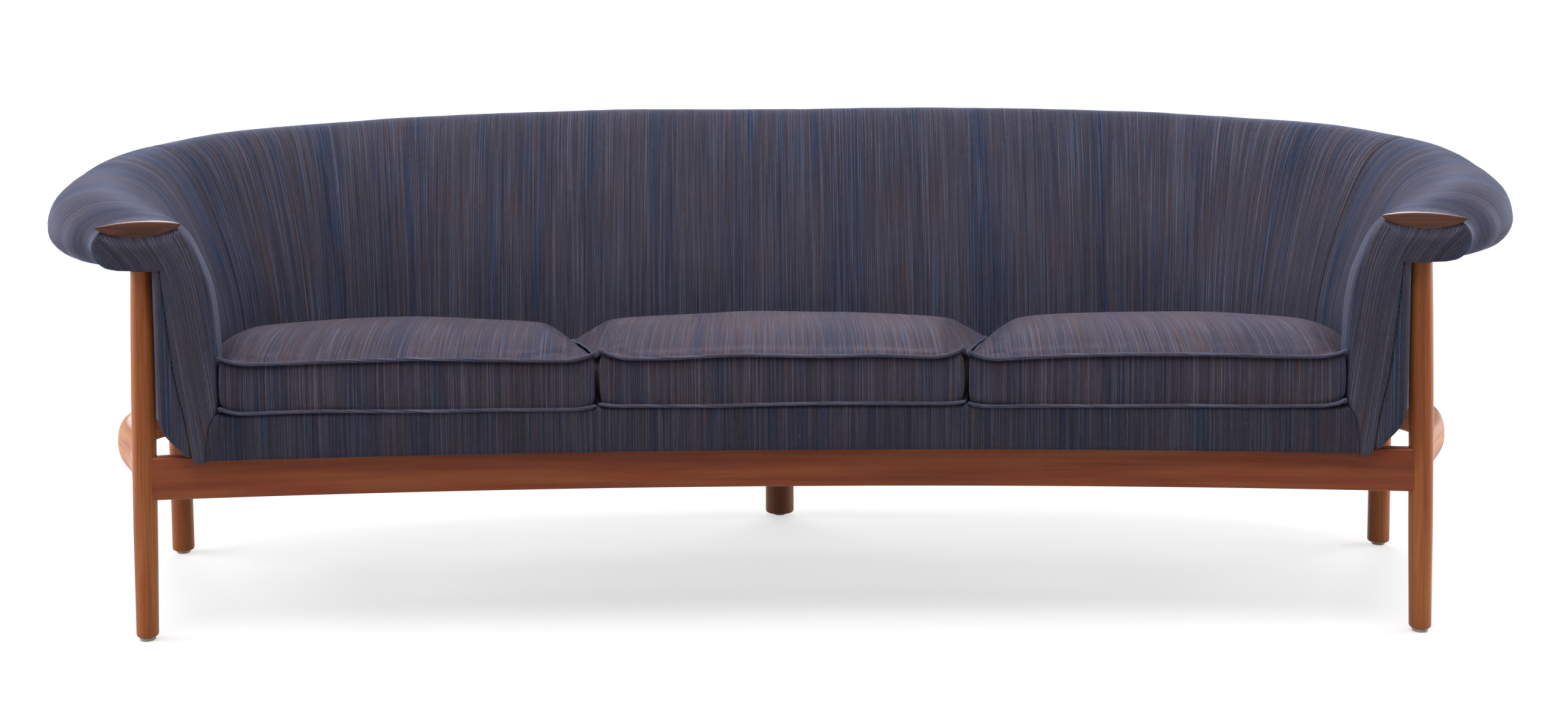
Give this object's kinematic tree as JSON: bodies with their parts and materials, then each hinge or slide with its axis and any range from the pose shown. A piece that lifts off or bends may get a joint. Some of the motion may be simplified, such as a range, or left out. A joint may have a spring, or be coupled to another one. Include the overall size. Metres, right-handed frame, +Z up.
{
  "type": "three-seat sofa",
  "caption": "Crescent-shaped upholstered sofa with wrap-around rolled arms and back, loose boxed seat cushions, and an exposed teak frame with a curved ring rail and round legs.",
  "frame": {"origin": "on the floor, under the middle of the whole sofa", "axes": "+Z up, +X to the right of someone who faces the sofa's front, -Y out of its front"},
  "size_m": [2.4342, 0.913, 0.8109],
  "materials": {
    "teak": "oiled, satin",
    "dark_teak": "oiled, worn satin",
    "beech": "planed, unfinished",
    "twill": "striped wool twill",
    "cotton": "plain woven cotton",
    "webbing": "woven jute webbing",
    "glide": "smooth",
    "steel": "zinc-plated"
  },
  "bodies": {
    "sofa": {"front_leg_left": "teak", "front_leg_right": "teak", "rear_leg_left": "teak", "rear_leg_right": "teak", "rear_leg_centre": "teak", "glide_front_left": "glide", "glide_front_right": "glide", "glide_rear_left": "glide", "glide_rear_right": "glide", "glide_centre": "glide", "front_rail": "teak", "ring_side_left": "teak", "ring_side_right": "teak", "ring_back_left": "teak", "ring_back_right": "teak", "ring_back_centre": "teak", "rail_dowel_left": "beech", "rail_dowel_right": "beech", "ring_dowel_left": "beech", "ring_dowel_right": "beech", "rear_leg_bolt_left": "steel", "rear_leg_bolt_right": "steel", "centre_leg_bolt": "steel", "bearer_left": "beech", "bearer_centre": "beech", "bearer_right": "beech", "base_side_bar_left": "beech", "base_side_bar_right": "beech", "base_back_bar": "beech", "base_front_bar": "beech", "arm_top_rail_left": "beech", "arm_top_rail_right": "beech", "back_top_rail": "beech", "arm_post_left": "beech", "arm_post_right": "beech", "back_post_left": "beech", "back_post_right": "beech", "back_post_centre": "beech", "seat_strap_1": "webbing", "seat_strap_2": "webbing", "seat_strap_3": "webbing", "seat_strap_4": "webbing", "seat_strap_5": "webbing", "seat_deck": "cotton", "dust_cover": "cotton", "back_panel": "twill", "arm_panel_left": "twill", "arm_panel_right": "twill", "outer_back_panel": "twill", "outer_side_panel_left": "twill", "outer_side_panel_right": "twill", "facing_left": "twill", "facing_right": "twill", "apron": "twill", "arm_cap_left": "dark_teak", "arm_cap_right": "dark_teak"},
    "cushion_left": {"seat_cushion_left": "twill"},
    "cushion_centre": {"seat_cushion_centre": "twill"},
    "cushion_right": {"seat_cushion_right": "twill"}
  },
  "joints": [
    {"name": "cushion_left_lift", "type": "slide", "parent": "sofa", "child": "cushion_left", "axis": [0, 0, 1], "range_m": [0, 0.25]},
    {"name": "cushion_centre_lift", "type": "slide", "parent": "sofa", "child": "cushion_centre", "axis": [0, 0, 1], "range_m": [0, 0.25]},
    {"name": "cushion_right_lift", "type": "slide", "parent": "sofa", "child": "cushion_right", "axis": [0, 0, 1], "range_m": [0, 0.25]}
  ]
}
